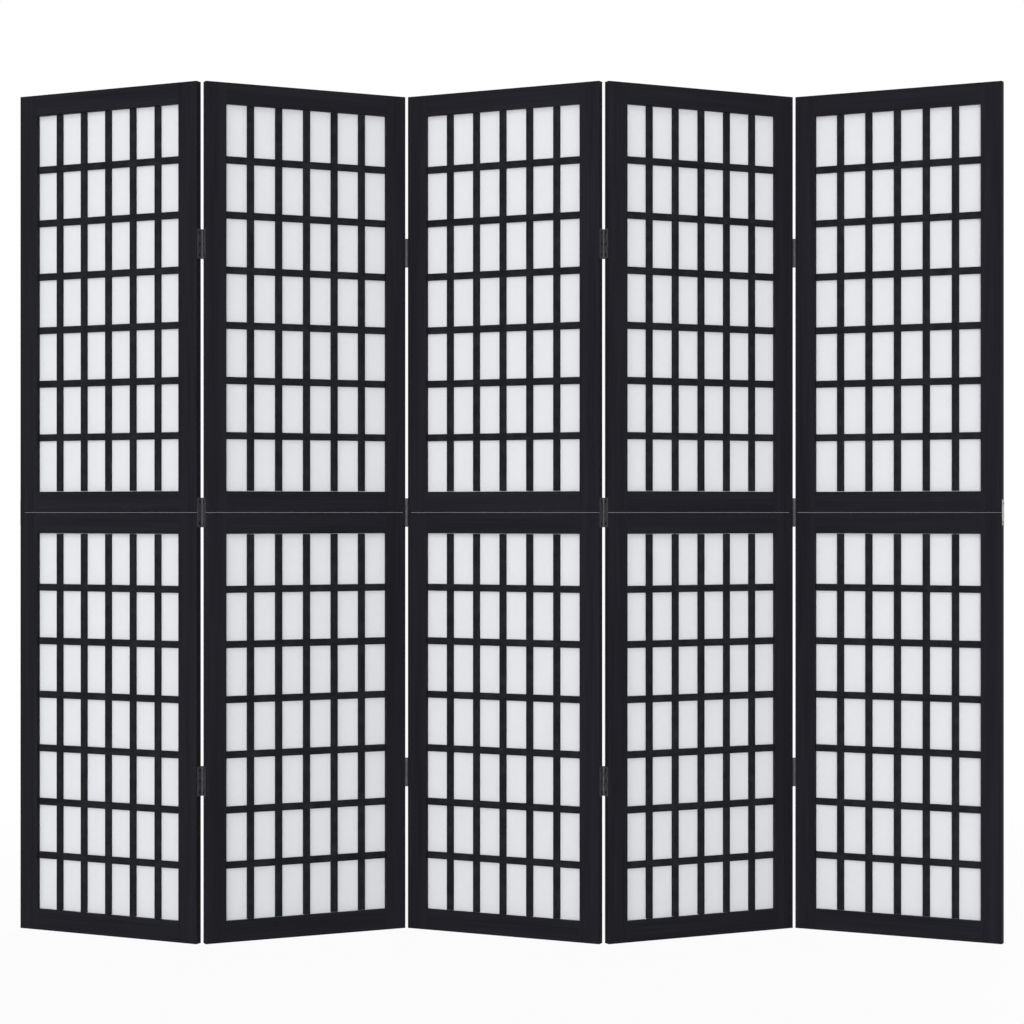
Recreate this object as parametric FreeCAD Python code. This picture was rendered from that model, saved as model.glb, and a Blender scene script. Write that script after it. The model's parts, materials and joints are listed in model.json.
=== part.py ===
import FreeCAD, Part
import math
import os

# A folding screen of hinged panels, in millimetres. It stands on the plane z = 0 and faces -Y.
# The panels are numbered from the left, as seen from the front, and stand in a zigzag.
# Each panel is a lower and an upper half frame, and each half holds a sheet with a lattice on it.
# A panel's own frame has X along its width, Y from its front face to its back and Z up.

# Whole screen
panel_count = 5
panel_width = 400.0
panel_height = 1600.0
frame_thickness = 16.0
slant_degrees = 25.2
split_gap = 0.15

# Half frames: stiles, rails and the tenons that join them
stile_width = 39.6
rail_width = 39.6
edge_ease = 0.6
tenon_length = 25.0
tenon_thickness = 6.0
tenon_set_back = 9.0
mortise_end_room = 1.0

# Sheet, and the groove in the frame that holds its edges
sheet_thickness = 0.6
groove_depth = 6.0
groove_end_room = 1.0
groove_side_room = 0.1

# Lattice: crossbars let flush into housings in the uprights
upright_count = 5
crossbar_count = 6
bar_width = 13.3
upright_depth = 4.8
crossbar_depth = 3.4
crossbar_pitch = 102.7
lattice_recess = 4.0
lattice_end_room = 1.0

# Butt hinges, three to a fold, the middle one across the split
hinge_height = 55.0
hinge_from_end = 301.0
knuckle_count = 3
knuckle_flats = 8
knuckle_room = 0.3
leaf_thickness = 0.65
leaf_reach = 16.7
barrel_radius = 3.4
barrel_room = 0.3
pin_radius = 1.6
pin_room = 0.05
axis_to_end = 0.75
axis_to_face = 3.45

# Plates that join the two halves at the free edges of the screen
plate_height = 48.0
plate_width = 14.0
plate_thickness = 0.8

# Length by which a cutting block passes the face it leaves through
overrun = 1.0

# Sizes that follow from those above
half_height = (panel_height - split_gap) / 2
upper_base = half_height + split_gap
opening_left = stile_width
opening_right = panel_width - stile_width
opening_low = rail_width
opening_high = half_height - rail_width
sheet_front = lattice_recess + upright_depth
sheet_back = sheet_front + sheet_thickness
groove_front = sheet_front - groove_side_room
groove_back = sheet_back + groove_side_room
tenon_front = (frame_thickness - tenon_thickness) / 2
tenon_back = tenon_front + tenon_thickness
knuckle_length = (hinge_height - (knuckle_count - 1) * knuckle_room) / knuckle_count
leaf_start = barrel_radius + barrel_room
hinge_centres = [hinge_from_end, panel_height / 2, panel_height - hinge_from_end]
hinge_bases = [centre - hinge_height / 2 for centre in hinge_centres]


def block(corner, opposite):
    """Box between two opposite corners, given in any order."""
    low = [min(pair) for pair in zip(corner, opposite)]
    high = [max(pair) for pair in zip(corner, opposite)]
    sides = [b - a for a, b in zip(low, high)]
    return Part.makeBox(*sides, FreeCAD.Vector(*low))


def cylinder(radius, x, y, low, high):
    """Upright cylinder between two levels."""
    return Part.makeCylinder(radius, high - low, FreeCAD.Vector(x, y, low))


def flat_sided_bar(vertex_radius, x, y, low, high):
    """Upright bar of the knuckles' flats, with one flat square to X."""
    step = 2 * math.pi / knuckle_flats
    angles = [(number + 1 / 2) * step for number in range(knuckle_flats)]
    corners = [
        FreeCAD.Vector(x + vertex_radius * math.cos(angle), y + vertex_radius * math.sin(angle), low)
        for angle in angles
    ]
    outline = Part.makePolygon(corners + corners[:1])
    return Part.Face(outline).extrude(FreeCAD.Vector(0, 0, high - low))


def runs_along_a_face(edge):
    """True for an edge of the front or back face, false for one through the thickness."""
    direction = edge.tangentAt(edge.FirstParameter)
    return round(abs(direction.y)) == 0


def frame_blank():
    """One half frame in one piece, with the edges round its outside eased."""
    outside = block((0, 0, 0), (panel_width, frame_thickness, half_height))
    opening = block(
        (opening_left, -overrun, opening_low),
        (opening_right, frame_thickness + overrun, opening_high),
    )
    eased_edges = [edge for edge in outside.Edges if runs_along_a_face(edge)]
    return outside.makeChamfer(edge_ease, eased_edges).cut(opening)


def mirrored_across(shape):
    """The same piece on the other side of the panel."""
    return shape.mirror(FreeCAD.Vector(panel_width / 2, 0, 0), FreeCAD.Vector(1, 0, 0))


def mirrored_up(shape):
    """The same piece at the other end of the half frame."""
    return shape.mirror(FreeCAD.Vector(0, 0, half_height / 2), FreeCAD.Vector(0, 0, 1))


def raised(shape):
    """The same piece in the upper half."""
    return shape.translated(FreeCAD.Vector(0, 0, upper_base))


def left_stile(blank):
    """Stile with a stopped groove for the sheet and a blind mortise for each rail."""
    stile = blank.common(block((0, 0, 0), (opening_left, frame_thickness, half_height)))
    groove = block(
        (opening_left - groove_depth, groove_front, opening_low - groove_depth),
        (opening_left + overrun, groove_back, opening_high + groove_depth),
    )
    mortise = block(
        (opening_left - tenon_length - mortise_end_room, tenon_front, tenon_set_back),
        (opening_left + overrun, tenon_back, rail_width - tenon_set_back),
    )
    return stile.cut([groove, mortise, mirrored_up(mortise)])


def bottom_rail(blank):
    """Rail with a groove for the sheet along its inner edge and a tenon at each end."""
    rail = blank.common(block((opening_left, 0, 0), (opening_right, frame_thickness, rail_width)))
    groove = block(
        (opening_left - overrun, groove_front, opening_low - groove_depth),
        (opening_right + overrun, groove_back, opening_low + overrun),
    )
    tenons = block(
        (opening_left - tenon_length, tenon_front, tenon_set_back),
        (opening_right + tenon_length, tenon_back, rail_width - tenon_set_back),
    )
    return rail.cut(groove).fuse(tenons).removeSplitter()


def sheet():
    """White sheet, with its edges in the groove of the frame."""
    held = groove_depth - groove_end_room
    return block(
        (opening_left - held, sheet_front, opening_low - held),
        (opening_right + held, sheet_back, opening_high + held),
    )


def crossbars():
    """Strips across the opening, evenly spaced about the middle of the half frame."""
    bars = []
    for number in range(crossbar_count):
        centre = half_height / 2 + (number - (crossbar_count - 1) / 2) * crossbar_pitch
        bar = block(
            (opening_left + lattice_end_room, lattice_recess, centre - bar_width / 2),
            (opening_right - lattice_end_room, lattice_recess + crossbar_depth, centre + bar_width / 2),
        )
        bars.append(bar)
    return bars


def uprights(housed_bars):
    """Strips up the opening, with equal spaces between them and a housing for each crossbar."""
    pitch = (opening_right - opening_left + bar_width) / (upright_count + 1)
    bars = []
    for number in range(upright_count):
        left = opening_left - bar_width + (number + 1) * pitch
        bar = block(
            (left, lattice_recess, opening_low + lattice_end_room),
            (left + bar_width, sheet_front, opening_high - lattice_end_room),
        )
        bars.append(bar.cut(housed_bars))
    return bars


def joining_plate():
    """Steel plate across the split, flat on the panel's left edge."""
    edge = (frame_thickness - plate_width) / 2
    low = (panel_height - plate_height) / 2
    return block((-plate_thickness, edge, low), (0, edge + plate_width, low + plate_height))


def pin_depth(fold):
    """Depth of a fold's pin in the panel's own frame: odd folds have it behind, even ones in front."""
    if fold % 2 == 1:
        return frame_thickness + axis_to_face
    return -axis_to_face


def into_panel(fold):
    """Direction along Y that leads from a fold's pin across the edge of the panel."""
    if fold % 2 == 1:
        return -1
    return 1


def knuckle_levels(base, number):
    """Lower and upper level of one knuckle of a hinge that starts at base."""
    low = base + number * (knuckle_length + knuckle_room)
    return low, low + knuckle_length


def leaf(fold, base, axis_x, side, knuckles):
    """Hinge leaf flat on a stile's edge, with its knuckles folded in flats round the pin.

    side is -1 on the panel left of the fold and 1 on the panel right of it.
    """
    axis_y = pin_depth(fold)
    inward = into_panel(fold)
    wall = axis_x + side * axis_to_end
    face = wall - side * leaf_thickness
    start = axis_y + inward * leaf_start
    plate = block((wall, start, base), (face, axis_y + inward * leaf_reach, base + hinge_height))
    pieces = []
    for number in knuckles:
        low, high = knuckle_levels(base, number)
        pieces.append(block((wall, start, low), (face, axis_y, high)))
        pieces.append(flat_sided_bar(barrel_radius, axis_x, axis_y, low, high))
    bore_radius = (pin_radius + pin_room) / math.cos(math.pi / knuckle_flats)
    bore = flat_sided_bar(bore_radius, axis_x, axis_y, base - overrun, base + hinge_height + overrun)
    return plate.fuse(pieces).cut(bore).removeSplitter()


def left_leaves(fold):
    """Leaves on the panel left of the fold, which hold every other knuckle from the lowest."""
    axis_x = panel_width + axis_to_end
    return [leaf(fold, base, axis_x, -1, range(0, knuckle_count, 2)) for base in hinge_bases]


def right_leaves(fold):
    """Leaves on the panel right of the fold, which hold the knuckles between."""
    return [leaf(fold, base, -axis_to_end, 1, range(1, knuckle_count, 2)) for base in hinge_bases]


def pins(fold):
    """Hinge pins of one fold, in the frame of the panel left of it."""
    axis_x = panel_width + axis_to_end
    return [
        cylinder(pin_radius, axis_x, pin_depth(fold), base, base + hinge_height)
        for base in hinge_bases
    ]


def panel_turn(number):
    """Turn of a panel about Z: odd panels come forward to the right, even ones go back."""
    sense = -1 if number % 2 == 1 else 1
    return FreeCAD.Rotation(FreeCAD.Vector(0, 0, 1), sense * slant_degrees)


def place_on(number, own_point, world_point):
    """Place of a panel that brings a point of its own frame to a point of the screen."""
    turn = panel_turn(number)
    return FreeCAD.Placement(world_point - turn.multVec(own_point), turn)


def panel_places():
    """Place of every panel, chained from the middle one through the hinge axes."""
    middle = (panel_count + 1) // 2
    centre = FreeCAD.Vector(panel_width / 2, frame_thickness / 2, 0)
    places = {middle: place_on(middle, centre, FreeCAD.Vector())}
    for number in range(middle + 1, panel_count + 1):
        fold = number - 1
        near = FreeCAD.Vector(panel_width + axis_to_end, pin_depth(fold), 0)
        own = FreeCAD.Vector(-axis_to_end, pin_depth(fold), 0)
        places[number] = place_on(number, own, places[fold].multVec(near))
    for number in range(middle - 1, 0, -1):
        near = FreeCAD.Vector(-axis_to_end, pin_depth(number), 0)
        own = FreeCAD.Vector(panel_width + axis_to_end, pin_depth(number), 0)
        places[number] = place_on(number, own, places[number + 1].multVec(near))
    return places


def panel_pieces():
    """Pieces of one panel in its own frame, as node endings and lists of solids."""
    blank = frame_blank()
    stile = left_stile(blank)
    far_stile = mirrored_across(stile)
    rail = bottom_rail(blank)
    high_rail = mirrored_up(rail)
    bars = crossbars()
    lattice = uprights(bars) + bars
    cloth = sheet()
    return {
        "left_stiles": [stile, raised(stile)],
        "right_stiles": [far_stile, raised(far_stile)],
        "bottom_rail": [rail],
        "middle_rails": [high_rail, raised(rail)],
        "top_rail": [raised(high_rail)],
        "lower_lattice": lattice,
        "upper_lattice": [raised(bar) for bar in lattice],
        "lower_sheet": [cloth],
        "upper_sheet": [raised(cloth)],
    }


def placed(solids, place):
    """Copies of the solids, moved from a panel's own frame to the screen."""
    return [solid.transformed(place.Matrix, True) for solid in solids]


def screen_nodes():
    """Every node of the screen with its solids in place."""
    places = panel_places()
    pieces = panel_pieces()
    left_plate = joining_plate()
    right_plate = mirrored_across(left_plate)
    nodes = {}
    for number, place in places.items():
        for ending, solids in pieces.items():
            nodes[f"panel_{number}_{ending}"] = placed(solids, place)
    for fold in range(1, panel_count):
        name = f"hinge_{fold}_{fold + 1}"
        nodes[f"{name}_left_leaves"] = placed(left_leaves(fold), places[fold])
        nodes[f"{name}_right_leaves"] = placed(right_leaves(fold), places[fold + 1])
        nodes[f"{name}_pins"] = placed(pins(fold), places[fold])
    nodes["left_joining_plate"] = placed([left_plate], places[1])
    nodes["right_joining_plate"] = placed([right_plate], places[panel_count])
    return nodes


os.makedirs("parts", exist_ok=True)
for node_name, node_solids in screen_nodes().items():
    Part.makeCompound(node_solids).exportStep(f"parts/{node_name}.step")
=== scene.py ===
import json
import math

import bmesh
import bpy
from mathutils import Matrix, Vector, noise


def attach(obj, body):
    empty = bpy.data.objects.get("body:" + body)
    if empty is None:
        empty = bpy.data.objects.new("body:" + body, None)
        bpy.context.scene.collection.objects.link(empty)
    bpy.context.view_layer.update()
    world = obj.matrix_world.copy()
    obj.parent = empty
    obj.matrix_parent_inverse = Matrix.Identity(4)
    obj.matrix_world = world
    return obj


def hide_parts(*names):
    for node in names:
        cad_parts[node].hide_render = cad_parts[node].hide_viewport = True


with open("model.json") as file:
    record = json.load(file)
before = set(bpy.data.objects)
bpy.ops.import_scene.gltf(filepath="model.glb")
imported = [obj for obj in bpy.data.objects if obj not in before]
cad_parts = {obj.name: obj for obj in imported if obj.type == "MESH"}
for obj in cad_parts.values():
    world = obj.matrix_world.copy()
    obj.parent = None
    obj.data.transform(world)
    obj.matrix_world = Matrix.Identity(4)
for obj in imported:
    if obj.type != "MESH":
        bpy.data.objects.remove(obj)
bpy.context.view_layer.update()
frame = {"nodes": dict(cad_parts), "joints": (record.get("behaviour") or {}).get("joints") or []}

# A folding screen of five hinged panels, dressed over its solids. Lengths are in metres.
# A panel's own frame has X along its width, Y from its front face to its back and Z up.
mm = 0.001

# Panels and their half frames, as in the solids
panel_numbers = range(1, 6)
fold_numbers = range(1, 5)
slant = math.radians(25.2)
panel_width = 400 * mm
panel_height = 1600 * mm
frame_thickness = 16 * mm
split_gap = 0.15 * mm
stile_width = 39.6 * mm
rail_width = 39.6 * mm
edge_ease = 0.6 * mm
half_height = (panel_height - split_gap) / 2
upper_base = half_height + split_gap
opening_width = panel_width - 2 * stile_width
opening_height = half_height - 2 * rail_width

# Rounding of the timbers' outer edges
timber_rounding = 0.25 * mm
timber_rounding_steps = 2
merge_distance = 0.001 * mm
flat_angle = math.radians(0.5)
edge_reach = 1.1 * edge_ease

# Lattice on the sheet
upright_count = 5
crossbar_count = 6
bar_width = 13.3 * mm
upright_depth = 4.8 * mm
crossbar_depth = 3.4 * mm
crossbar_pitch = 102.7 * mm
lattice_recess = 4.0 * mm
lattice_end_room = 1.0 * mm
bar_rounding = 0.45 * mm
bar_rounding_steps = 3

# White sheet in its groove, and its slack between the uprights
sheet_thickness = 0.6 * mm
sheet_held = 5.0 * mm
sheet_slack = 0.45 * mm
sheet_slack_wave = 6.0
sheet_edge_fade = 30 * mm
sheet_columns = 54
sheet_rows = 108

# Butt hinges
hinge_height = 55 * mm
hinge_from_end = 301 * mm
knuckle_count = 3
knuckle_room = 0.3 * mm
leaf_thickness = 0.65 * mm
leaf_reach = 16.7 * mm
leaf_corner = 1.4 * mm
barrel_radius = 3.4 * mm
barrel_room = 0.3 * mm
tab_inside_barrel = 1.0 * mm
pin_radius = 1.6 * mm
pin_room = 0.05 * mm
axis_to_end = 0.75 * mm
axis_to_face = 3.45 * mm
metal_ease = 0.15 * mm
metal_ease_steps = 1
pin_ease = 0.35 * mm
round_steps = 40
corner_steps = 5
knuckle_length = (hinge_height - (knuckle_count - 1) * knuckle_room) / knuckle_count
middle_hinge = 1

# Joining plates on the free edges of the screen
plate_height = 48 * mm
plate_width = 14 * mm
plate_thickness = 0.8 * mm
plate_corner = 0.6 * mm

# Countersunk screws; the dome starts a little inside the rim of the head and below it
screw_spread = 20.3 * mm
screw_from_axis = 8.2 * mm
plate_screw_spread = 16.9 * mm
screw_head_radius = 2.8 * mm
screw_hole_room = 0.12 * mm
screw_head_depth = 1.5 * mm
screw_shank_radius = 1.3 * mm
screw_shank_length = 9.0 * mm
screw_slot_length = 3.2 * mm
screw_slot_width = 0.75 * mm
screw_slot_depth = 0.8 * mm
screw_sides = 24
screw_shank_sides = 12
screw_shank_share = 0.94
screw_shank_start = 0.9
screw_dome_rings = 12
screw_dome_share = 0.92
screw_dome_sunk = 0.15
leaf_screw_dome = 0.05 * mm
plate_screw_dome = 0.6 * mm
leaf_screw_seed_step = 10
plate_screw_seed = 100
drawn_hole_radius = screw_head_radius + screw_hole_room + metal_ease
plate_screw_levels = [plate_height / 2 + way * plate_screw_spread for way in (-1, 1)]

# Camera
camera_place = (0.0134, -4.399, 0.800)
camera_lens = 81.743
camera_sensor = 36.0
image_size = 1024
image_centre = (510.46, 512.5)


# Places on the screen

upwards = Vector((0, 0, 1))


def pin_depth(fold):
    """Depth of a fold's pin in a panel's own frame: behind at odd folds, in front at even ones."""
    return frame_thickness + axis_to_face if fold % 2 else -axis_to_face


def into_panel(fold):
    """Direction along Y that leads from a fold's pin across the edge of the panel."""
    return -1 if fold % 2 else 1


def fold_axis(fold):
    """Foot of a fold's axis on the floor, as the joint gives it."""
    name = f"fold_{fold}_{fold + 1}"
    joint = next(joint for joint in frame["joints"] if joint["name"] == name)
    return Vector((joint["pos_m"][0], joint["pos_m"][1], 0))


def panel_place(panel):
    """Matrix from a panel's own frame to the screen, found from one of its hinge axes."""
    turn = Matrix.Rotation(-slant if panel % 2 else slant, 4, "Z")
    fold = max(panel - 1, 1)
    own_x = -axis_to_end if panel > 1 else panel_width + axis_to_end
    own_axis = Vector((own_x, pin_depth(fold), 0))
    return Matrix.Translation(fold_axis(fold)) @ turn @ Matrix.Translation(-own_axis)


places = {panel: panel_place(panel) for panel in panel_numbers}
hinge_bases = [
    centre - hinge_height / 2
    for centre in (hinge_from_end, panel_height / 2, panel_height - hinge_from_end)
]
half_bases = {"lower": 0.0, "upper": upper_base}


def matrix_from_axes(origin, x_axis, y_axis, z_axis):
    """Matrix that takes X, Y and Z to the three directions given, from an origin."""
    columns = Matrix((x_axis, y_axis, z_axis)).transposed().to_4x4()
    return Matrix.Translation(Vector(origin)) @ columns


# Node trees


def add(tree, kind, feeds=None, **settings):
    """Adds a node and feeds its inputs with values or with other nodes' outputs."""
    node = tree.nodes.new(kind)
    for name, value in settings.items():
        setattr(node, name, value)
    for name, value in (feeds or {}).items():
        if isinstance(value, bpy.types.NodeSocket):
            tree.links.new(value, node.inputs[name])
        else:
            node.inputs[name].default_value = value
    return node


def maths(tree, operation, *terms):
    """Output of one maths node."""
    return add(tree, "ShaderNodeMath", dict(enumerate(terms)), operation=operation).outputs[0]


def vector(tree, x, y, z):
    """Vector put together from three values."""
    return add(tree, "ShaderNodeCombineXYZ", {"X": x, "Y": y, "Z": z}).outputs[0]


def lifted(tree, height):
    """Vector straight up along Z."""
    return vector(tree, 0, 0, height)


def weighed(tree, first, first_weight, second, second_weight):
    """Sum of two values, each times its weight."""
    rest = maths(tree, "MULTIPLY", second, second_weight)
    return maths(tree, "MULTIPLY_ADD", first, first_weight, rest)


def node_group(name, kind, takes, gives):
    """Empty tree with named inputs and outputs."""
    tree = bpy.data.node_groups.new(name, kind)
    for label, socket in takes:
        tree.interface.new_socket(label, in_out="INPUT", socket_type="NodeSocket" + socket)
    for label, socket in gives:
        tree.interface.new_socket(label, in_out="OUTPUT", socket_type="NodeSocket" + socket)
    return tree, tree.nodes.new("NodeGroupInput").outputs, tree.nodes.new("NodeGroupOutput").inputs


def rounded_section(tree, width, depth, rounding):
    """Section of a bar: a rectangle with rounded corners."""
    flat = add(
        tree, "GeometryNodeCurvePrimitiveQuadrilateral", {"Width": width, "Height": depth}
    )
    return add(
        tree,
        "GeometryNodeFilletCurve",
        {"Curve": flat.outputs[0], "Count": bar_rounding_steps, "Radius": rounding},
        mode="POLY",
    ).outputs[0]


def bars_along(tree, lines, section):
    """Bars of one section along every line."""
    real = add(tree, "GeometryNodeRealizeInstances", {"Geometry": lines})
    return add(
        tree,
        "GeometryNodeCurveToMesh",
        {"Curve": real.outputs[0], "Profile Curve": section, "Fill Caps": True},
    ).outputs[0]


def with_grain(tree, bars, along, across, into):
    """Bars that remember each point's place along, across and into the grain."""
    return add(
        tree,
        "GeometryNodeStoreNamedAttribute",
        {"Geometry": bars, "Name": "grain", "Value": vector(tree, along, across, into)},
        data_type="FLOAT_VECTOR",
        domain="POINT",
    ).outputs[0]


def lattice_tree():
    """Crossbars in a row, and uprights that stop at each crossbar and run on behind it."""
    sizes = ("Opening Width", "Opening Height", "Bar Width", "Upright Depth", "Crossbar Depth")
    more = ("Crossbar Pitch", "End Room", "Rounding", "Grain Shift")
    takes = [("Geometry", "Geometry")]
    takes += [(label, "Float") for label in sizes + more]
    takes += [("Uprights", "Int"), ("Crossbars", "Int"), ("Material", "Material")]
    tree, given, result = node_group(
        "lattice_bars", "GeometryNodeTree", takes, [("Geometry", "Geometry")]
    )
    width, height, bar, deep, shallow = (given[label] for label in sizes)
    pitch, end_room, rounding, shift = (given[label] for label in more)
    uprights, crossbars = given["Uprights"], given["Crossbars"]

    # Crossbars
    spread = maths(tree, "MULTIPLY", maths(tree, "SUBTRACT", crossbars, 1), pitch)
    first = maths(tree, "DIVIDE", maths(tree, "SUBTRACT", height, spread), 2)
    rows = add(
        tree,
        "GeometryNodeMeshLine",
        {
            "Count": crossbars,
            "Start Location": vector(tree, 0, maths(tree, "DIVIDE", shallow, 2), first),
            "Offset": vector(tree, 0, 0, pitch),
        },
    ).outputs[0]
    far_end = maths(tree, "SUBTRACT", width, end_room)
    across_line = add(
        tree,
        "GeometryNodeCurvePrimitiveLine",
        {"Start": vector(tree, end_room, 0, 0), "End": vector(tree, far_end, 0, 0)},
    ).outputs[0]
    row_lines = add(
        tree, "GeometryNodeInstanceOnPoints", {"Points": rows, "Instance": across_line}
    ).outputs[0]
    row_bars = bars_along(tree, row_lines, rounded_section(tree, shallow, bar, rounding))

    # Lengths of upright between the crossbars, one above the other
    edge = maths(tree, "SUBTRACT", first, maths(tree, "DIVIDE", bar, 2))
    index = add(tree, "GeometryNodeInputIndex").outputs[0]
    lowest = maths(tree, "LESS_THAN", index, 0.5)
    highest = maths(tree, "GREATER_THAN", index, maths(tree, "SUBTRACT", crossbars, 0.5))
    at_end = maths(tree, "MAXIMUM", lowest, highest)
    between = maths(tree, "SUBTRACT", pitch, bar)
    end_length = maths(tree, "SUBTRACT", edge, end_room)
    gain = maths(tree, "MULTIPLY", at_end, maths(tree, "SUBTRACT", end_length, between))
    length = maths(tree, "ADD", between, gain)
    risen = maths(tree, "MULTIPLY_ADD", index, pitch, maths(tree, "SUBTRACT", edge, between))
    drop = maths(tree, "MULTIPLY", lowest, maths(tree, "SUBTRACT", end_length, between))
    foot = maths(tree, "SUBTRACT", risen, drop)
    stack = add(
        tree, "GeometryNodeMeshLine", {"Count": maths(tree, "ADD", crossbars, 1)}
    ).outputs[0]
    middle = maths(tree, "DIVIDE", deep, 2)
    feet = add(
        tree,
        "GeometryNodeSetPosition",
        {"Geometry": stack, "Position": vector(tree, 0, middle, foot)},
    ).outputs[0]
    unit_line = add(
        tree, "GeometryNodeCurvePrimitiveLine", {"Start": (0, 0, 0), "End": (0, 0, 1)}
    ).outputs[0]
    lengths = add(
        tree,
        "GeometryNodeInstanceOnPoints",
        {"Points": feet, "Instance": unit_line, "Scale": vector(tree, 1, 1, length)},
    ).outputs[0]

    # Thin backs of the uprights behind the crossbars
    back_middle = maths(tree, "DIVIDE", maths(tree, "ADD", shallow, deep), 2)
    back_rows = add(
        tree,
        "GeometryNodeMeshLine",
        {
            "Count": crossbars,
            "Start Location": vector(tree, 0, back_middle, edge),
            "Offset": vector(tree, 0, 0, pitch),
        },
    ).outputs[0]
    backs = add(
        tree,
        "GeometryNodeInstanceOnPoints",
        {"Points": back_rows, "Instance": unit_line, "Scale": vector(tree, 1, 1, bar)},
    ).outputs[0]

    # Both of them at every upright
    gaps = maths(tree, "ADD", uprights, 1)
    column_pitch = maths(tree, "DIVIDE", maths(tree, "ADD", width, bar), gaps)
    first_column = maths(tree, "SUBTRACT", column_pitch, maths(tree, "DIVIDE", bar, 2))
    columns = add(
        tree,
        "GeometryNodeMeshLine",
        {
            "Count": uprights,
            "Start Location": vector(tree, first_column, 0, 0),
            "Offset": vector(tree, column_pitch, 0, 0),
        },
    ).outputs[0]
    back_depth = maths(tree, "SUBTRACT", deep, shallow)
    upright_sections = (
        (lengths, rounded_section(tree, bar, deep, rounding)),
        (backs, rounded_section(tree, bar, back_depth, 0)),
    )
    upright_bars = []
    for lines, section in upright_sections:
        copies = add(
            tree, "GeometryNodeInstanceOnPoints", {"Points": columns, "Instance": lines}
        ).outputs[0]
        upright_bars.append(bars_along(tree, copies, section))

    # Grain runs along each bar
    spot = add(tree, "GeometryNodeInputPosition").outputs[0]
    parts = add(tree, "ShaderNodeSeparateXYZ", {"Vector": spot}).outputs
    shifted = {axis: maths(tree, "ADD", parts[axis], shift) for axis in "XZ"}
    joined = add(tree, "GeometryNodeJoinGeometry")
    row_grain = with_grain(tree, row_bars, shifted["X"], parts["Z"], parts["Y"])
    tree.links.new(row_grain, joined.inputs[0])
    for bars in upright_bars:
        column_grain = with_grain(tree, bars, shifted["Z"], parts["X"], parts["Y"])
        tree.links.new(column_grain, joined.inputs[0])
    real = add(tree, "GeometryNodeRealizeInstances", {"Geometry": joined.outputs[0]})
    painted = add(
        tree,
        "GeometryNodeSetMaterial",
        {"Geometry": real.outputs[0], "Material": given["Material"]},
    )
    tree.links.new(painted.outputs[0], result["Geometry"])
    return tree


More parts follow.
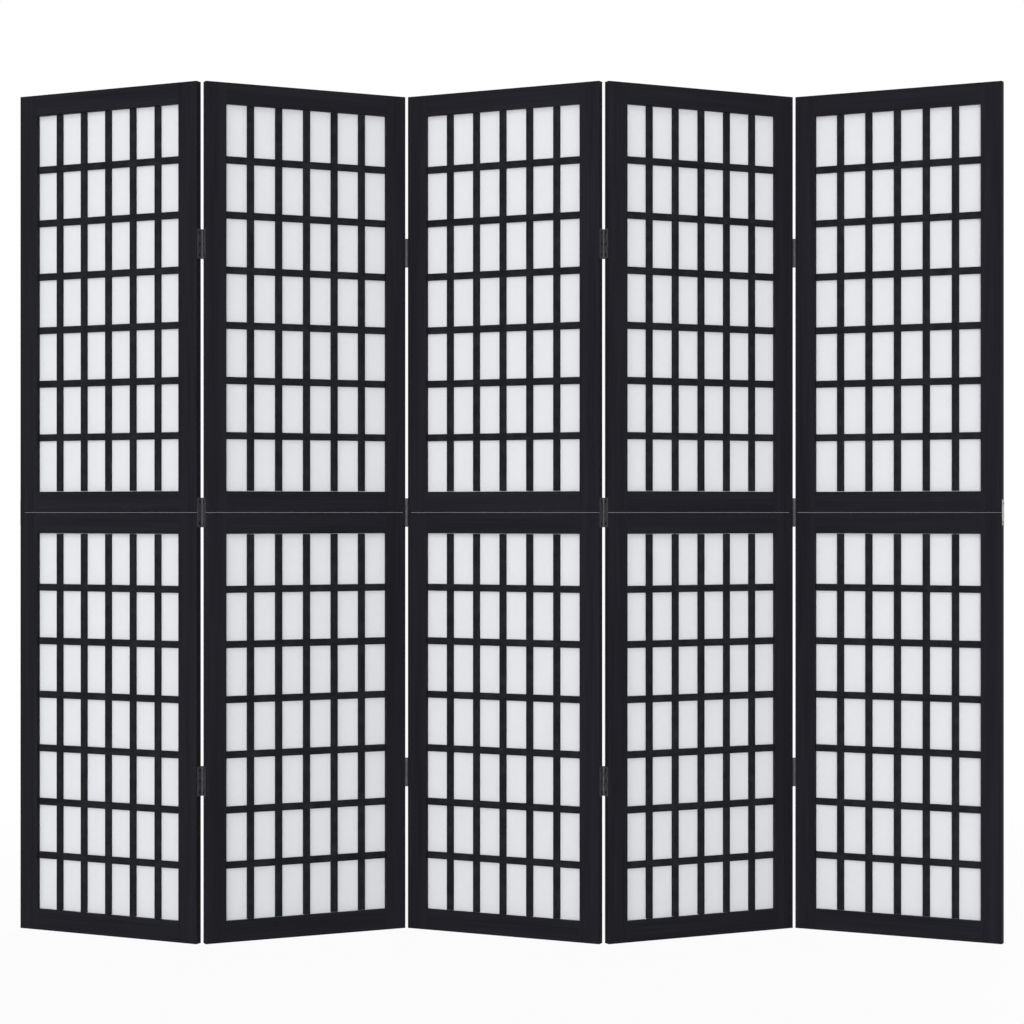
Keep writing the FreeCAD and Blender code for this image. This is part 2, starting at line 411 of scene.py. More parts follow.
def screw_tree():
    """Countersunk cross-head screws, one at each point, with their slots turned at random."""
    sizes = ("Head Radius", "Head Depth", "Dome", "Shank Radius", "Shank Length")
    slots = ("Slot Length", "Slot Width", "Slot Depth")
    takes = [("Geometry", "Geometry")]
    takes += [(label, "Float") for label in sizes + slots]
    takes += [("Sides", "Int"), ("Seed", "Int"), ("Material", "Material")]
    tree, given, result = node_group(
        "cross_head_screws", "GeometryNodeTree", takes, [("Geometry", "Geometry")]
    )
    radius, depth, dome, shank, length = (given[label] for label in sizes)
    slot_length, slot_width, slot_depth = (given[label] for label in slots)
    cone = add(
        tree,
        "GeometryNodeMeshCone",
        {
            "Vertices": given["Sides"],
            "Radius Top": radius,
            "Radius Bottom": shank,
            "Depth": depth,
        },
    ).outputs[0]
    sunk_cone = add(
        tree,
        "GeometryNodeTransform",
        {"Geometry": cone, "Translation": lifted(tree, maths(tree, "MULTIPLY", depth, -1))},
    ).outputs[0]
    ball = add(
        tree,
        "GeometryNodeMeshUVSphere",
        {"Segments": given["Sides"], "Rings": screw_dome_rings, "Radius": 1},
    ).outputs[0]
    wide = maths(tree, "MULTIPLY", radius, screw_dome_share)
    sunk = maths(tree, "MULTIPLY", dome, screw_dome_sunk)
    cap = add(
        tree,
        "GeometryNodeTransform",
        {
            "Geometry": ball,
            "Scale": vector(tree, wide, wide, maths(tree, "ADD", dome, sunk)),
            "Translation": lifted(tree, maths(tree, "MULTIPLY", sunk, -1)),
        },
    ).outputs[0]
    rod = add(
        tree,
        "GeometryNodeMeshCylinder",
        {
            "Vertices": screw_shank_sides,
            "Radius": maths(tree, "MULTIPLY", shank, screw_shank_share),
            "Depth": length,
        },
    ).outputs[0]
    half_way = weighed(tree, length, -0.5, depth, -screw_shank_start)
    sunk_rod = add(
        tree, "GeometryNodeTransform", {"Geometry": rod, "Translation": lifted(tree, half_way)}
    ).outputs[0]
    head = add(tree, "GeometryNodeMeshBoolean", operation="UNION", solver="EXACT")
    for part in (sunk_cone, cap, sunk_rod):
        tree.links.new(part, head.inputs["Mesh 2"])
    slotted = add(
        tree,
        "GeometryNodeMeshBoolean",
        {"Mesh 1": head.outputs[0]},
        operation="DIFFERENCE",
        solver="EXACT",
    )
    reach = maths(tree, "MULTIPLY", maths(tree, "ADD", slot_depth, dome), 2)
    for size in ((slot_length, slot_width), (slot_width, slot_length)):
        cutter = add(tree, "GeometryNodeMeshCube", {"Size": vector(tree, *size, reach)}).outputs[0]
        raised = add(
            tree, "GeometryNodeTransform", {"Geometry": cutter, "Translation": lifted(tree, dome)}
        ).outputs[0]
        tree.links.new(raised, slotted.inputs["Mesh 2"])
    facing = add(
        tree, "GeometryNodeInputNamedAttribute", {"Name": "facing"}, data_type="FLOAT_VECTOR"
    ).outputs[0]
    upright = add(
        tree, "FunctionNodeAlignRotationToVector", {"Vector": facing}, axis="Z"
    ).outputs[0]
    chance = add(
        tree, "FunctionNodeRandomValue", {"Seed": given["Seed"]}, data_type="FLOAT"
    ).outputs[1]
    angle = maths(tree, "MULTIPLY", chance, math.pi)
    roll = add(
        tree, "FunctionNodeAxisAngleToRotation", {"Axis": (0, 0, 1), "Angle": angle}
    ).outputs[0]
    turned = add(
        tree,
        "FunctionNodeRotateRotation",
        {"Rotation": upright, "Rotate By": roll},
        rotation_space="LOCAL",
    ).outputs[0]
    screws = add(
        tree,
        "GeometryNodeInstanceOnPoints",
        {"Points": given["Geometry"], "Instance": slotted.outputs[0], "Rotation": turned},
    ).outputs[0]
    real = add(tree, "GeometryNodeRealizeInstances", {"Geometry": screws})
    finished = add(
        tree,
        "GeometryNodeSetMaterial",
        {"Geometry": real.outputs[0], "Material": given["Material"]},
    )
    tree.links.new(finished.outputs[0], result["Geometry"])
    return tree


def plain_mesh(obj):
    """The object's evaluated mesh; the object itself goes."""
    graph = bpy.context.evaluated_depsgraph_get()
    mesh = bpy.data.meshes.new_from_object(
        obj.evaluated_get(graph), preserve_all_data_layers=True, depsgraph=graph
    )
    obj.modifiers.clear()
    bpy.data.objects.remove(obj)
    return mesh


def grown(tree, seed, values):
    """Plain mesh that a geometry tree makes on a seed mesh with these inputs."""
    obj = bpy.data.objects.new(tree.name, seed)
    bpy.context.scene.collection.objects.link(obj)
    modifier = obj.modifiers.new(tree.name, "NODES")
    modifier.node_group = tree
    for item in tree.interface.items_tree:
        if item.item_type == "SOCKET" and item.in_out == "INPUT" and item.name in values:
            modifier[item.identifier] = values[item.name]
    return plain_mesh(obj)


# Meshes of the pieces


def on_the_outside(edge):
    """True for an edge of a timber's outer form, false for one of a groove, mortise or tenon."""
    planes = (
        (0, stile_width, panel_width - stile_width, panel_width),
        (0, frame_thickness),
        [
            base + level
            for base in half_bases.values()
            for level in (0, rail_width, half_height - rail_width, half_height)
        ],
    )
    near = 0
    for axis, levels in enumerate(planes):
        ends = [vertex.co[axis] for vertex in edge.verts]
        near += any(all(abs(end - level) < edge_reach for end in ends) for level in levels)
    return near >= 2


def eased_timber(node, place):
    """Copy of a stile or rail in the panel's own frame, with its outer edges rounded over."""
    form = bmesh.new()
    form.from_mesh(frame["nodes"][node].data)
    form.transform(place.inverted())
    bmesh.ops.remove_doubles(form, verts=form.verts, dist=merge_distance)
    bmesh.ops.dissolve_limit(form, angle_limit=flat_angle, verts=form.verts, edges=form.edges)
    bmesh.ops.bevel(
        form,
        geom=[edge for edge in form.edges if on_the_outside(edge)],
        offset=timber_rounding,
        offset_type="OFFSET",
        segments=timber_rounding_steps,
        profile=0.5,
        affect="EDGES",
        clamp_overlap=True,
    )
    for face in form.faces:
        face.smooth = False
    mesh = bpy.data.meshes.new(node)
    form.to_mesh(mesh)
    form.free()
    return mesh


def remember_grain(mesh, along, across, shift):
    """Writes each point's place along, across and into the grain."""
    grain = mesh.attributes.new("grain", "FLOAT_VECTOR", "POINT")
    for vertex, kept in zip(mesh.vertices, grain.data):
        kept.vector = (vertex.co[along] + shift, vertex.co[across], vertex.co.y)


def remember_edges(mesh):
    """Writes how far each point has turned from the flat faces, which marks the eased edges where a
    lighter sheen is painted.
    """
    eased_edge_mark = mesh.attributes.new("eased_edge_mark", "FLOAT", "POINT")
    for vertex, kept in zip(mesh.vertices, eased_edge_mark.data):
        straight = max(abs(part) for part in vertex.normal)
        kept.value = min(1, (1 - straight) / (1 - math.sqrt(1 / 2)))


def sheet_mesh(base):
    """White sheet from groove to groove, with a trace of slack between the uprights."""
    left = stile_width - sheet_held
    low = base + rail_width - sheet_held
    wide = opening_width + 2 * sheet_held
    high = opening_height + 2 * sheet_held
    front = lattice_recess + upright_depth
    pitch = (opening_width + bar_width) / (upright_count + 1)

    def slack(x, z):
        bay = ((x - stile_width + bar_width) / pitch) % 1
        free = (bay - bar_width / pitch) / (1 - bar_width / pitch)
        inside = min(x - stile_width, panel_width - stile_width - x)
        clear = min(z - base - rail_width, base + half_height - rail_width - z)
        if free <= 0 or inside <= 0 or clear <= 0:
            return 0
        billow = math.sin(math.pi * free) * min(1, clear / sheet_edge_fade)
        swell = noise.noise(Vector((x, 0, z)) * sheet_slack_wave)
        return sheet_slack * billow * (1 + swell) / 2

    form = bmesh.new()
    sides = []
    for depth in (0, sheet_thickness):
        grid = []
        for row in range(sheet_rows + 1):
            z = low + high * row / sheet_rows
            line = []
            for column in range(sheet_columns + 1):
                x = left + wide * column / sheet_columns
                line.append(form.verts.new((x, front + depth + slack(x, z), z)))
            grid.append(line)
        sides.append(grid)
    near, far = sides
    for row in range(sheet_rows):
        for column in range(sheet_columns):
            cells = [(row, column), (row, column + 1), (row + 1, column + 1), (row + 1, column)]
            form.faces.new([near[r][c] for r, c in cells]).smooth = True
            form.faces.new([far[r][c] for r, c in reversed(cells)]).smooth = True
    rim = [(0, column) for column in range(sheet_columns)]
    rim += [(row, sheet_columns) for row in range(sheet_rows)]
    rim += [(sheet_rows, column) for column in range(sheet_columns, 0, -1)]
    rim += [(row, 0) for row in range(sheet_rows, 0, -1)]
    for (r, c), (next_r, next_c) in zip(rim, rim[1:] + rim[:1]):
        form.faces.new((near[next_r][next_c], near[r][c], far[r][c], far[next_r][next_c]))
    mesh = bpy.data.meshes.new("sheet")
    form.to_mesh(mesh)
    form.free()
    return mesh


def arc(centre, radius, start, end, steps):
    """Points of an arc from one angle to another, in degrees."""
    points = []
    for step in range(steps + 1):
        angle = math.radians(start + (end - start) * step / steps)
        points.append((centre[0] + radius * math.cos(angle), centre[1] + radius * math.sin(angle)))
    return points


def circle(centre, radius):
    """Points of a full circle."""
    return arc(centre, radius, 0, 360, round_steps)[:-1]


def flat_stock(outlines, thickness, ease):
    """Closed plate cut to outlines in XY, the first outside and the others holes, with eased edges.

    The outlines are drawn short of the edges by the ease, which the rounding then adds.
    """
    drawn = bpy.data.curves.new("stock", "CURVE")
    drawn.dimensions = "2D"
    drawn.fill_mode = "BOTH"
    drawn.extrude = thickness / 2 - ease
    drawn.bevel_depth = ease
    drawn.bevel_resolution = metal_ease_steps
    for outline in outlines:
        spline = drawn.splines.new("POLY")
        spline.points.add(len(outline) - 1)
        for point, (x, y) in zip(spline.points, outline):
            point.co = (x, y, 0, 1)
        spline.use_cyclic_u = True
    obj = bpy.data.objects.new("stock", drawn)
    bpy.context.scene.collection.objects.link(obj)
    mesh = plain_mesh(obj)
    mesh.transform(Matrix.Translation((0, 0, thickness / 2)))
    return mesh


def joined(meshes, name):
    """One mesh from several placed ones, with doubles merged and faces turned outwards."""
    form = bmesh.new()
    for mesh, place in meshes:
        part = bmesh.new()
        part.from_mesh(mesh)
        bmesh.ops.remove_doubles(part, verts=part.verts, dist=merge_distance)
        part.transform(place)
        bmesh.ops.recalc_face_normals(part, faces=part.faces)
        spare = bpy.data.meshes.new(name)
        part.to_mesh(spare)
        part.free()
        form.from_mesh(spare)
        bpy.data.meshes.remove(spare)
    whole = bpy.data.meshes.new(name)
    form.to_mesh(whole)
    form.free()
    return whole


def leaf_outline(knuckles):
    """Outline of a leaf: X from the pin inwards, Y up, with a tab at each of its knuckles."""
    inner = barrel_radius + barrel_room + metal_ease
    tab = barrel_radius - tab_inside_barrel
    outer = leaf_reach - metal_ease
    bottom = metal_ease
    top = hinge_height - metal_ease
    points = []
    for number in reversed(range(knuckle_count)):
        low = number * (knuckle_length + knuckle_room)
        high = low + knuckle_length
        if number in knuckles:
            points += [
                (inner, min(high - metal_ease, top)),
                (tab, min(high - metal_ease, top)),
                (tab, max(low + metal_ease, bottom)),
                (inner, max(low + metal_ease, bottom)),
            ]
    if points[0][1] < top:
        points.insert(0, (inner, top))
    if points[-1][1] > bottom:
        points.append((inner, bottom))
    points += arc((outer - leaf_corner, bottom + leaf_corner), leaf_corner, -90, 0, corner_steps)
    points += arc((outer - leaf_corner, top - leaf_corner), leaf_corner, 0, 90, corner_steps)
    return points


def screw_levels(hinge):
    """Heights of a leaf's screws above its foot: the middle hinge has none on the split."""
    middle = hinge_height / 2
    levels = [middle - screw_spread, middle, middle + screw_spread]
    return [levels[0], levels[2]] if hinge == middle_hinge else levels


def leaf_frame(fold, base, side):
    """Matrix from a leaf's frame to its panel: X from the pin inwards, Y up and Z off the edge.

    side is -1 on the panel left of the fold and 1 on the panel right of it.
    """
    wall = panel_width if side < 0 else 0
    off_edge = Vector((-side, 0, 0))
    inwards = Vector((0, into_panel(fold), 0))
    origin = (wall, pin_depth(fold), base)
    return matrix_from_axes(origin, inwards, upwards, off_edge)


def barrel_frame(fold, level, side):
    """Matrix from a knuckle's frame to its panel: Z up along the pin."""
    x = panel_width + axis_to_end if side < 0 else -axis_to_end
    return Matrix.Translation((x, pin_depth(fold), level))


def leaves_mesh(fold, side):
    """The three leaves of a fold on one panel, with round knuckles and screw holes."""
    knuckles = range(0, knuckle_count, 2) if side < 0 else range(1, knuckle_count, 2)
    ring = flat_stock(
        [
            circle((0, 0), barrel_radius - metal_ease),
            circle((0, 0), pin_radius + pin_room + metal_ease),
        ],
        knuckle_length,
        metal_ease,
    )
    parts = []
    for hinge, base in enumerate(hinge_bases):
        holes = [
            circle((screw_from_axis, level), drawn_hole_radius) for level in screw_levels(hinge)
        ]
        leaf = flat_stock([leaf_outline(knuckles)] + holes, leaf_thickness, metal_ease)
        parts.append((leaf, leaf_frame(fold, base, side)))
        for number in knuckles:
            level = base + number * (knuckle_length + knuckle_room)
            parts.append((ring, barrel_frame(fold, level, side)))
    return joined(parts, "leaves")


def pins_mesh(fold):
    """The three pins of a fold, in the frame of the panel left of it."""
    pin = flat_stock([circle((0, 0), pin_radius - pin_ease)], hinge_height, pin_ease)
    return joined([(pin, barrel_frame(fold, base, -1)) for base in hinge_bases], "pins")


def plate_frame(side):
    """Matrix from a joining plate's frame to its panel: X across the edge, Y up and Z outwards."""
    wall = 0 if side > 0 else panel_width
    origin = (wall, (frame_thickness - plate_width) / 2, (panel_height - plate_height) / 2)
    return matrix_from_axes(origin, Vector((0, 1, 0)), upwards, Vector((-side, 0, 0)))


def plate_mesh(side):
    """Steel plate with rounded corners and two screw holes, on the edge of its panel."""
    short = metal_ease
    corners = (
        ((plate_width - short - plate_corner, short + plate_corner), -90),
        ((plate_width - short - plate_corner, plate_height - short - plate_corner), 0),
        ((short + plate_corner, plate_height - short - plate_corner), 90),
        ((short + plate_corner, short + plate_corner), 180),
    )
    outline = []
    for centre, start in corners:
        outline += arc(centre, plate_corner, start, start + 90, corner_steps)
    holes = [circle((plate_width / 2, level), drawn_hole_radius) for level in plate_screw_levels]
    plate = flat_stock([outline] + holes, plate_thickness, metal_ease)
    return joined([(plate, plate_frame(side))], "plate")


def screws_mesh(spots, dome, seed, material):
    """Screws at spots, each a place for the head's rim and the direction that the head faces."""
    seed_mesh = bpy.data.meshes.new("screw_spots")
    seed_mesh.from_pydata([spot for spot, facing in spots], [], [])
    kept = seed_mesh.attributes.new("facing", "FLOAT_VECTOR", "POINT")
    for value, (spot, facing) in zip(kept.data, spots):
        value.vector = facing
    sizes = {
        "Head Radius": screw_head_radius,
        "Head Depth": screw_head_depth,
        "Dome": dome,
        "Shank Radius": screw_shank_radius,
        "Shank Length": screw_shank_length,
        "Slot Length": screw_slot_length,
        "Slot Width": screw_slot_width,
        "Slot Depth": screw_slot_depth,
        "Sides": screw_sides,
        "Seed": seed,
        "Material": material,
    }
    return grown(screws, seed_mesh, sizes)


def leaf_screw_spots(fold, side):
    """Places and directions of a fold's screws on one panel."""
    spots = []
    for hinge, base in enumerate(hinge_bases):
        to_panel = leaf_frame(fold, base, side)
        facing = to_panel.to_3x3() @ upwards
        for level in screw_levels(hinge):
            spots.append((to_panel @ Vector((screw_from_axis, level, leaf_thickness)), facing))
    return spots


def plate_screw_spots(side):
    """Places and directions of a joining plate's screws."""
    to_panel = plate_frame(side)
    facing = to_panel.to_3x3() @ upwards
    return [
        (to_panel @ Vector((plate_width / 2, level, plate_thickness)), facing)
        for level in plate_screw_levels
    ]


# Finishes

# Waves of each pattern in a metre: along, across and into the wood, or along X, Y and Z
streak_waves = (5, 300, 300)
figure_waves = (1.6, 45, 45)
pore_waves = (70, 1800, 1800)
edge_sheen_waves = (45, 45, 45)
strand_waves = (60, 900, 900)
cloud_waves = (38, 38, 38)
rolling_waves = (2600, 2600, 90)
dull_patch_waves = (160, 160, 110)
strand_degrees = (12, 71, 128)

# Shine of the surfaces, and depth and strength of their relief
paint_shine = 0.08
cloth_shine = 0.15
steel_shine = 0.25
grain_relief = (0.12 * mm, 0.35)
fibre_relief = (0.06 * mm, 0.5)
rolling_relief = (0.02 * mm, 0.4)


def colour(red, green, blue):
    """Colour written as it looks on the screen, from 0 to 255, for a colour socket."""
    def linear(value):
        share = value / 255
        return share / 12.92 if share <= 0.04045 else ((share + 0.055) / 1.055) ** 2.4
    return (linear(red), linear(green), linear(blue), 1)


def stretched_noise(tree, place, stretch, detail):
    """Noise that is drawn out along some axes."""
    scaled = add(
        tree, "ShaderNodeVectorMath", {0: place, 1: stretch}, operation="MULTIPLY"
    ).outputs[0]
    return add(
        tree, "ShaderNodeTexNoise", {"Vector": scaled, "Scale": 1, "Detail": detail}
    ).outputs["Fac"]


def spread_out(tree, value, low, high, new_low=0, new_high=1):
    """Value moved from one range to another and held inside it."""
    return add(
        tree,
        "ShaderNodeMapRange",
        {
            "Value": value,
            "From Min": low,
            "From Max": high,
            "To Min": new_low,
            "To Max": new_high,
        },
    ).outputs[0]


def blended(tree, share, first, second):
    """Mix of two colours: sockets 0, 6 and 7 of the node take the share and the colours."""
    feeds = {0: share, 6: first, 7: second}
    return add(tree, "ShaderNodeMix", feeds, data_type="RGBA").outputs[2]


def grain_group():
    """Wood grain under thin paint: long streaks, a broad figure and fine open pores."""
    tree, given, result = node_group(
        "painted_grain",
        "ShaderNodeTree",
        [("Place", "Vector"), ("Tone", "Color"), ("Streak Tone", "Color")],
        [("Color", "Color"), ("Roughness", "Float"), ("Height", "Float")],
    )
    place = given["Place"]
    streaks = stretched_noise(tree, place, streak_waves, detail=5)
    figure = stretched_noise(tree, place, figure_waves, detail=2)
    specks = stretched_noise(tree, place, pore_waves, detail=1)
    pores = spread_out(tree, specks, low=0.62, high=0.75)
    both = weighed(tree, figure, 0.6, streaks, 0.7)
    share = spread_out(tree, both, low=0.5, high=0.85)
    tinted = blended(tree, share, given["Tone"], given["Streak Tone"])
    pore_share = maths(tree, "MULTIPLY", pores, 0.3)
    pore_black = (0.004, 0.004, 0.005, 1)
    tree.links.new(blended(tree, pore_share, tinted, pore_black), result["Color"])
    smooth = spread_out(tree, both, low=0.4, high=0.9, new_low=0.78, new_high=0.64)
    rough = maths(tree, "MULTIPLY_ADD", pores, 0.15, smooth)
    tree.links.new(rough, result["Roughness"])
    ridge = weighed(tree, figure, 0.35, streaks, 0.65)
    tree.links.new(maths(tree, "MULTIPLY_ADD", pores, -0.5, ridge), result["Height"])
    return tree


def edge_sheen_group():
    """Painted sheen on the eased edges: a lighter mark along each eased edge that stands in for
    light caught there, broken up along its length.
    """
    tree, given, result = node_group(
        "painted_edge_sheen",
        "ShaderNodeTree",
        [("Place", "Vector"), ("Edge", "Float"), ("Amount", "Float")],
        [("Mask", "Float")],
    )
    # Patches along the eased edges where the painted highlight is laid on
    patches = stretched_noise(tree, given["Place"], edge_sheen_waves, detail=4)
    broken = spread_out(tree, patches, low=0.42, high=0.68, new_low=0.15)
    near = spread_out(tree, given["Edge"], low=0.15, high=0.9)
    mask = maths(tree, "MULTIPLY", maths(tree, "MULTIPLY", near, broken), given["Amount"])
    tree.links.new(mask, result["Mask"])
    return tree


def fibre_group():
    """Pressed fibres of a white sheet: fine strands in three directions over soft clouds."""
    tree, given, result = node_group(
        "pressed_fibres",
        "ShaderNodeTree",
        [("Place", "Vector"), ("Tone", "Color"), ("Fibre Tone", "Color")],
        [("Color", "Color"), ("Roughness", "Float"), ("Height", "Float")],
    )
    strands = None
    for degrees in strand_degrees:
        turned = add(
            tree,
            "ShaderNodeMapping",
            {"Vector": given["Place"], "Rotation": (0, math.radians(degrees), 0)},
        ).outputs[0]
        lines = stretched_noise(tree, turned, strand_waves, detail=2)
        one = spread_out(tree, lines, low=0.56, high=0.72)
        strands = one if strands is None else maths(tree, "MAXIMUM", strands, one)
    clouds = stretched_noise(tree, given["Place"], cloud_waves, detail=3)
    shade = weighed(tree, clouds, 0.35, strands, 0.55)
    tree.links.new(blended(tree, shade, given["Tone"], given["Fibre Tone"]), result["Color"])
    rough = spread_out(tree, strands, low=0, high=1, new_low=0.9, new_high=0.75)
    tree.links.new(rough, result["Roughness"])
    tree.links.new(maths(tree, "MULTIPLY_ADD", clouds, 0.4, strands), result["Height"])
    return tree


def metal_group():
    """Rolled metal: fine lines up and down, dull patches and specks."""
    tree, given, result = node_group(
        "rolled_metal",
        "ShaderNodeTree",
        [("Place", "Vector"), ("Tone", "Color"), ("Dull Tone", "Color"), ("Roughness", "Float")],
        [("Color", "Color"), ("Roughness", "Float"), ("Height", "Float")],
    )
    lines = stretched_noise(tree, given["Place"], rolling_waves, detail=3)
    patches = stretched_noise(tree, given["Place"], dull_patch_waves, detail=4)
    dull = spread_out(tree, patches, low=0.45, high=0.7)
    tree.links.new(blended(tree, dull, given["Tone"], given["Dull Tone"]), result["Color"])
    uneven = maths(tree, "MULTIPLY_ADD", dull, 0.12, given["Roughness"])
    rough = maths(tree, "MULTIPLY_ADD", maths(tree, "SUBTRACT", lines, 0.5), 0.16, uneven)
    tree.links.new(rough, result["Roughness"])
    tree.links.new(lines, result["Height"])
    return tree


def new_material(name):
    """Material with a bare Principled shader."""
    material = bpy.data.materials.new(name)
    material.use_nodes = True
    tree = material.node_tree
    tree.nodes.clear()
    shader = tree.nodes.new("ShaderNodeBsdfPrincipled")
    output = tree.nodes.new("ShaderNodeOutputMaterial")
    tree.links.new(shader.outputs[0], output.inputs["Surface"])
    return material, tree, shader, output


def placed_group(tree, group, feeds):
    """One of the shared effects in a material, with its own values."""
    return add(tree, "ShaderNodeGroup", feeds, node_tree=group).outputs


def raise_surface(tree, shader, height, relief):
    """Relief from a height, with its depth in metres and its strength."""
    distance, strength = relief
    bump = add(
        tree, "ShaderNodeBump", {"Height": height, "Distance": distance, "Strength": strength}
    )
    tree.links.new(bump.outputs[0], shader.inputs["Normal"])


def attribute(tree, name, output):
    """A value that a piece's mesh keeps at its points."""
    return add(tree, "ShaderNodeAttribute", attribute_name=name).outputs[output]


def painted_timber(name, tone, streak_tone, sheen_tone, sheen_amount):
    """Thin matt black paint on wood, with the grain showing through and a painted sheen that
    lightens the eased edges.
    """
    material, tree, shader, _ = new_material(name)
    place = attribute(tree, "grain", "Vector")
    grain = placed_group(
        tree, painted_grain, {"Place": place, "Tone": tone, "Streak Tone": streak_tone}
    )
    edge_sheen = placed_group(
        tree,
        painted_edge_sheen,
        {"Place": place, "Edge": attribute(tree, "eased_edge_mark", "Fac"), "Amount": sheen_amount},
    )
    # Painted highlight: the eased edges are blended towards a paler grey that stands in for sheen
    surface = blended(tree, edge_sheen["Mask"], grain["Color"], sheen_tone)
    tree.links.new(surface, shader.inputs["Base Color"])
    tree.links.new(grain["Roughness"], shader.inputs["Roughness"])
    shader.inputs["Specular IOR Level"].default_value = paint_shine
    raise_surface(tree, shader, grain["Height"], grain_relief)
    return material


def object_place(tree):
    """Place on the piece, in the screen's frame."""
    return add(tree, "ShaderNodeTexCoord").outputs["Object"]


def white_cloth(name, tone, fibre_tone, light_through_share):
    """White pressed-fibre cloth that lets a little light through."""
    material, tree, shader, output = new_material(name)
    fibres = placed_group(
        tree,
        pressed_fibres,
        {"Place": object_place(tree), "Tone": tone, "Fibre Tone": fibre_tone},
    )
    tree.links.new(fibres["Color"], shader.inputs["Base Color"])
    tree.links.new(fibres["Roughness"], shader.inputs["Roughness"])
    shader.inputs["Specular IOR Level"].default_value = cloth_shine
    raise_surface(tree, shader, fibres["Height"], fibre_relief)
    through = add(tree, "ShaderNodeBsdfTranslucent", {"Color": fibres["Color"]})
    feeds = {0: light_through_share, 1: shader.outputs[0], 2: through.outputs[0]}
    mix = add(tree, "ShaderNodeMixShader", feeds)
    tree.links.new(mix.outputs[0], output.inputs["Surface"])
    return material


def steel(name, tone, dull_tone, roughness, bare_share):
    """Rolled steel, bare or under a thin lacquer."""
    material, tree, shader, _ = new_material(name)
    metal = placed_group(
        tree,
        rolled_metal,
        {
            "Place": object_place(tree),
            "Tone": tone,
            "Dull Tone": dull_tone,
            "Roughness": roughness,
        },
    )
    tree.links.new(metal["Color"], shader.inputs["Base Color"])
    tree.links.new(metal["Roughness"], shader.inputs["Roughness"])
    shader.inputs["Metallic"].default_value = bare_share
    shader.inputs["Specular IOR Level"].default_value = steel_shine
    raise_surface(tree, shader, metal["Height"], rolling_relief)
    return material


painted_grain = grain_group()
painted_edge_sheen = edge_sheen_group()
pressed_fibres = fibre_group()
rolled_metal = metal_group()

# In both paints the third tone and the amount after it are a painted sheen, lighter on the eased
# edges
frame_paint = painted_timber(
    "black_frame_paint",
    tone=colour(24, 23, 29),
    streak_tone=colour(32, 31, 37),
    sheen_tone=colour(57, 55, 59),
    sheen_amount=0.55,
)
lattice_paint = painted_timber(
    "black_lattice_paint",
    tone=colour(18, 19, 24),
    streak_tone=colour(25, 26, 31),
    sheen_tone=colour(50, 49, 53),
    sheen_amount=0.4,
)
sheet_cloth = white_cloth(
    "white_pressed_cloth",
    tone=colour(236, 237, 240),
    fibre_tone=colour(243, 244, 246),
    light_through_share=0.2,
)
hinge_steel = steel(
    "grey_lacquered_steel",
    tone=colour(72, 72, 76),
    dull_tone=colour(62, 62, 66),
    roughness=0.4,
    bare_share=0.0,
)
plate_steel = steel(
    "satin_plate_steel",
    tone=colour(158, 158, 160),
    dull_tone=colour(140, 140, 142),
    roughness=0.34,
    bare_share=1.0,
)
screw_steel = steel(
    "black_screw_steel",
    tone=colour(30, 30, 32),
    dull_tone=colour(24, 24, 26),
    roughness=0.42,
    bare_share=0.3,
)
plate_screw_steel = steel(
    "grey_screw_steel",
    tone=colour(132, 132, 134),
    dull_tone=colour(114, 114, 116),
    roughness=0.38,
    bare_share=1.0,
)

lattice = lattice_tree()
screws = screw_tree()


# Pieces on the screen


def put_on(name, mesh, panel, material, slot, *nodes):
    """A finished piece, moved from its panel's own frame to the screen, riding on that panel."""
    mesh.transform(places[panel])
    mesh.materials.clear()
    mesh.materials.append(material)
    obj = bpy.data.objects.new(name, mesh)
    bpy.context.scene.collection.objects.link(obj)
    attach(obj, f"panel_{panel}")
    if nodes:
        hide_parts(*nodes)
    return obj


# Stiles stand along Z, and rails lie along X
grain_runs = {
    "left_stiles": (2, 0),
    "right_stiles": (2, 0),
    "bottom_rail": (0, 2),
    "middle_rails": (0, 2),
    "top_rail": (0, 2),
}
panel_grain_shift = 2.3

for panel in panel_numbers:
    for ending, (along, across) in grain_runs.items():
        node = f"panel_{panel}_{ending}"
        mesh = eased_timber(node, places[panel])
        remember_grain(mesh, along, across, panel * panel_grain_shift)
        remember_edges(mesh)
        put_on(f"{node}_timber", mesh, panel, frame_paint, "frame_wood", node)
    for half, base in half_bases.items():
        node = f"panel_{panel}_{half}_lattice"
        sizes = {
            "Opening Width": opening_width,
            "Opening Height": opening_height,
            "Bar Width": bar_width,
            "Upright Depth": upright_depth,
            "Crossbar Depth": crossbar_depth,
            "Crossbar Pitch": crossbar_pitch,
            "End Room": lattice_end_room,
            "Rounding": bar_rounding,
            "Grain Shift": panel * panel_grain_shift + base,
            "Uprights": upright_count,
            "Crossbars": crossbar_count,
            "Material": lattice_paint,
        }
        bars = grown(lattice, bpy.data.meshes.new("lattice_seed"), sizes)
        bars.transform(Matrix.Translation((stile_width, lattice_recess, base + rail_width)))
        remember_edges(bars)
        bar_piece = put_on(f"{node}_bars", bars, panel, lattice_paint, "lattice_wood", node)
        node = f"panel_{panel}_{half}_sheet"
        cloth = put_on(
            f"{node}_cloth", sheet_mesh(base), panel, sheet_cloth, "white_sheet", node
        )

for fold in fold_numbers:
    name = f"hinge_{fold}_{fold + 1}"
    for word, side, panel in (("left", -1, fold), ("right", 1, fold + 1)):
        node = f"{name}_{word}_leaves"
        put_on(f"{node}_steel", leaves_mesh(fold, side), panel, hinge_steel, "hinge_steel", node)
        spots = leaf_screw_spots(fold, side)
        seed = leaf_screw_seed_step * fold + side
        heads = screws_mesh(spots, leaf_screw_dome, seed, screw_steel)
        put_on(f"{name}_{word}_screws", heads, panel, screw_steel, "hinge_steel")
    node = f"{name}_pins"
    put_on(f"{node}_steel", pins_mesh(fold), fold, hinge_steel, "hinge_steel", node)

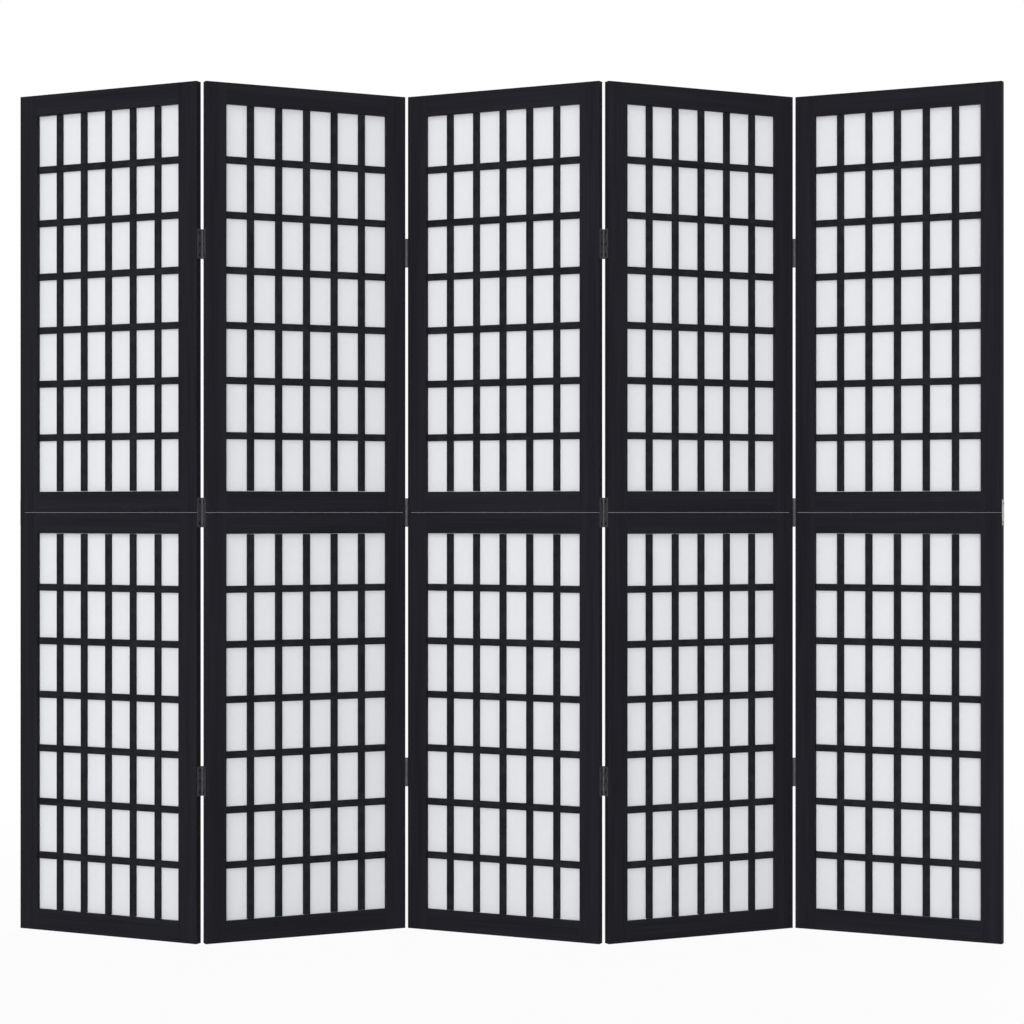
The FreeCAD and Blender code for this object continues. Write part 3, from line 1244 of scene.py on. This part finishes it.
for word, side, panel in (("left", 1, panel_numbers[0]), ("right", -1, panel_numbers[-1])):
    node = f"{word}_joining_plate"
    put_on(f"{node}_steel", plate_mesh(side), panel, plate_steel, "plate_steel", node)
    spots = plate_screw_spots(side)
    heads = screws_mesh(spots, plate_screw_dome, plate_screw_seed + side, plate_screw_steel)
    put_on(f"{word}_joining_screws", heads, panel, plate_screw_steel, "plate_steel")


# Floor, light and camera

# The floor shows almost white near the screen, to keep its shadow, and plain white farther off
floor_reach = 30.0
floor_white = (0.85, 0.85, 0.85, 1)
floor_roughness = 0.9
shown_white_near = 0.94
near_floor = 1.1
far_floor = 2.4
room_light = 0.45

# Where each sun comes from, its strength, and the softness of its shadows in degrees
suns = {
    "key": ((-0.36, -0.7, 0.62), 0.6, 28),
    "front": ((0.0, -1.0, 0.06), 1.45, 10),
    "back": ((0.25, 0.9, 0.45), 1.2, 25),
}


def seen_directly(tree):
    """1 for what is seen, also in metal and through glass, and 0 for light on the object."""
    path = add(tree, "ShaderNodeLightPath").outputs
    camera_or_gloss = maths(tree, "MAXIMUM", path["Is Camera Ray"], path["Is Glossy Ray"])
    return maths(tree, "MAXIMUM", camera_or_gloss, path["Is Transmission Ray"])


def white_floor():
    """Wide pale floor that shows white, and keeps a soft shadow round the screen."""
    mesh = bpy.data.meshes.new("floor")
    ways = [(-1, -1), (1, -1), (1, 1), (-1, 1)]
    corners = [(x * floor_reach, y * floor_reach, 0) for x, y in ways]
    mesh.from_pydata(corners, [], [(0, 1, 2, 3)])
    obj = bpy.data.objects.new("floor", mesh)
    bpy.context.scene.collection.objects.link(obj)
    material, tree, shader, output = new_material("pale_floor")
    shader.inputs["Base Color"].default_value = floor_white
    shader.inputs["Roughness"].default_value = floor_roughness
    shader.inputs["Specular IOR Level"].default_value = 0.0
    glow = add(tree, "ShaderNodeEmission", {"Color": (1, 1, 1, 1), "Strength": 1.0})
    distance = add(
        tree, "ShaderNodeVectorMath", {0: object_place(tree)}, operation="LENGTH"
    ).outputs["Value"]
    white = spread_out(tree, distance, near_floor, far_floor, new_low=shown_white_near)
    share = maths(tree, "MULTIPLY", seen_directly(tree), white)
    mix = add(tree, "ShaderNodeMixShader", {0: share, 1: shader.outputs[0], 2: glow.outputs[0]})
    tree.links.new(mix.outputs[0], output.inputs["Surface"])
    mesh.materials.append(material)


def studio_world():
    """Plain white surroundings, dimmer as light than as background."""
    world = bpy.data.worlds.new("studio")
    bpy.context.scene.world = world
    world.use_nodes = True
    tree = world.node_tree
    tree.nodes.clear()
    strength = spread_out(tree, seen_directly(tree), low=0, high=1, new_low=room_light)
    sky = add(tree, "ShaderNodeBackground", {"Color": (1, 1, 1, 1), "Strength": strength})
    output = tree.nodes.new("ShaderNodeOutputWorld")
    tree.links.new(sky.outputs[0], output.inputs["Surface"])


def sun_light(name, comes_from, strength, softness):
    """Even light from one direction, with soft-edged shadows."""
    lamp = bpy.data.lights.new(name, "SUN")
    lamp.energy = strength
    lamp.angle = math.radians(softness)
    obj = bpy.data.objects.new(name, lamp)
    obj.rotation_mode = "QUATERNION"
    obj.rotation_quaternion = Vector(comes_from).to_track_quat("Z", "Y")
    bpy.context.scene.collection.objects.link(obj)


def front_camera():
    """Level camera in front of the middle of the screen."""
    lens = bpy.data.cameras.new("front")
    lens.lens = camera_lens
    lens.sensor_width = camera_sensor
    lens.shift_x = (image_size / 2 - image_centre[0]) / image_size
    lens.shift_y = (image_centre[1] - image_size / 2) / image_size
    obj = bpy.data.objects.new("front", lens)
    obj.location = camera_place
    obj.rotation_euler = (math.pi / 2, 0, 0)
    bpy.context.scene.collection.objects.link(obj)
    bpy.context.scene.camera = obj


white_floor()
studio_world()
for name, (comes_from, strength, softness) in suns.items():
    sun_light(name, comes_from, strength, softness)
front_camera()
bpy.context.scene.view_settings.view_transform = "Standard"
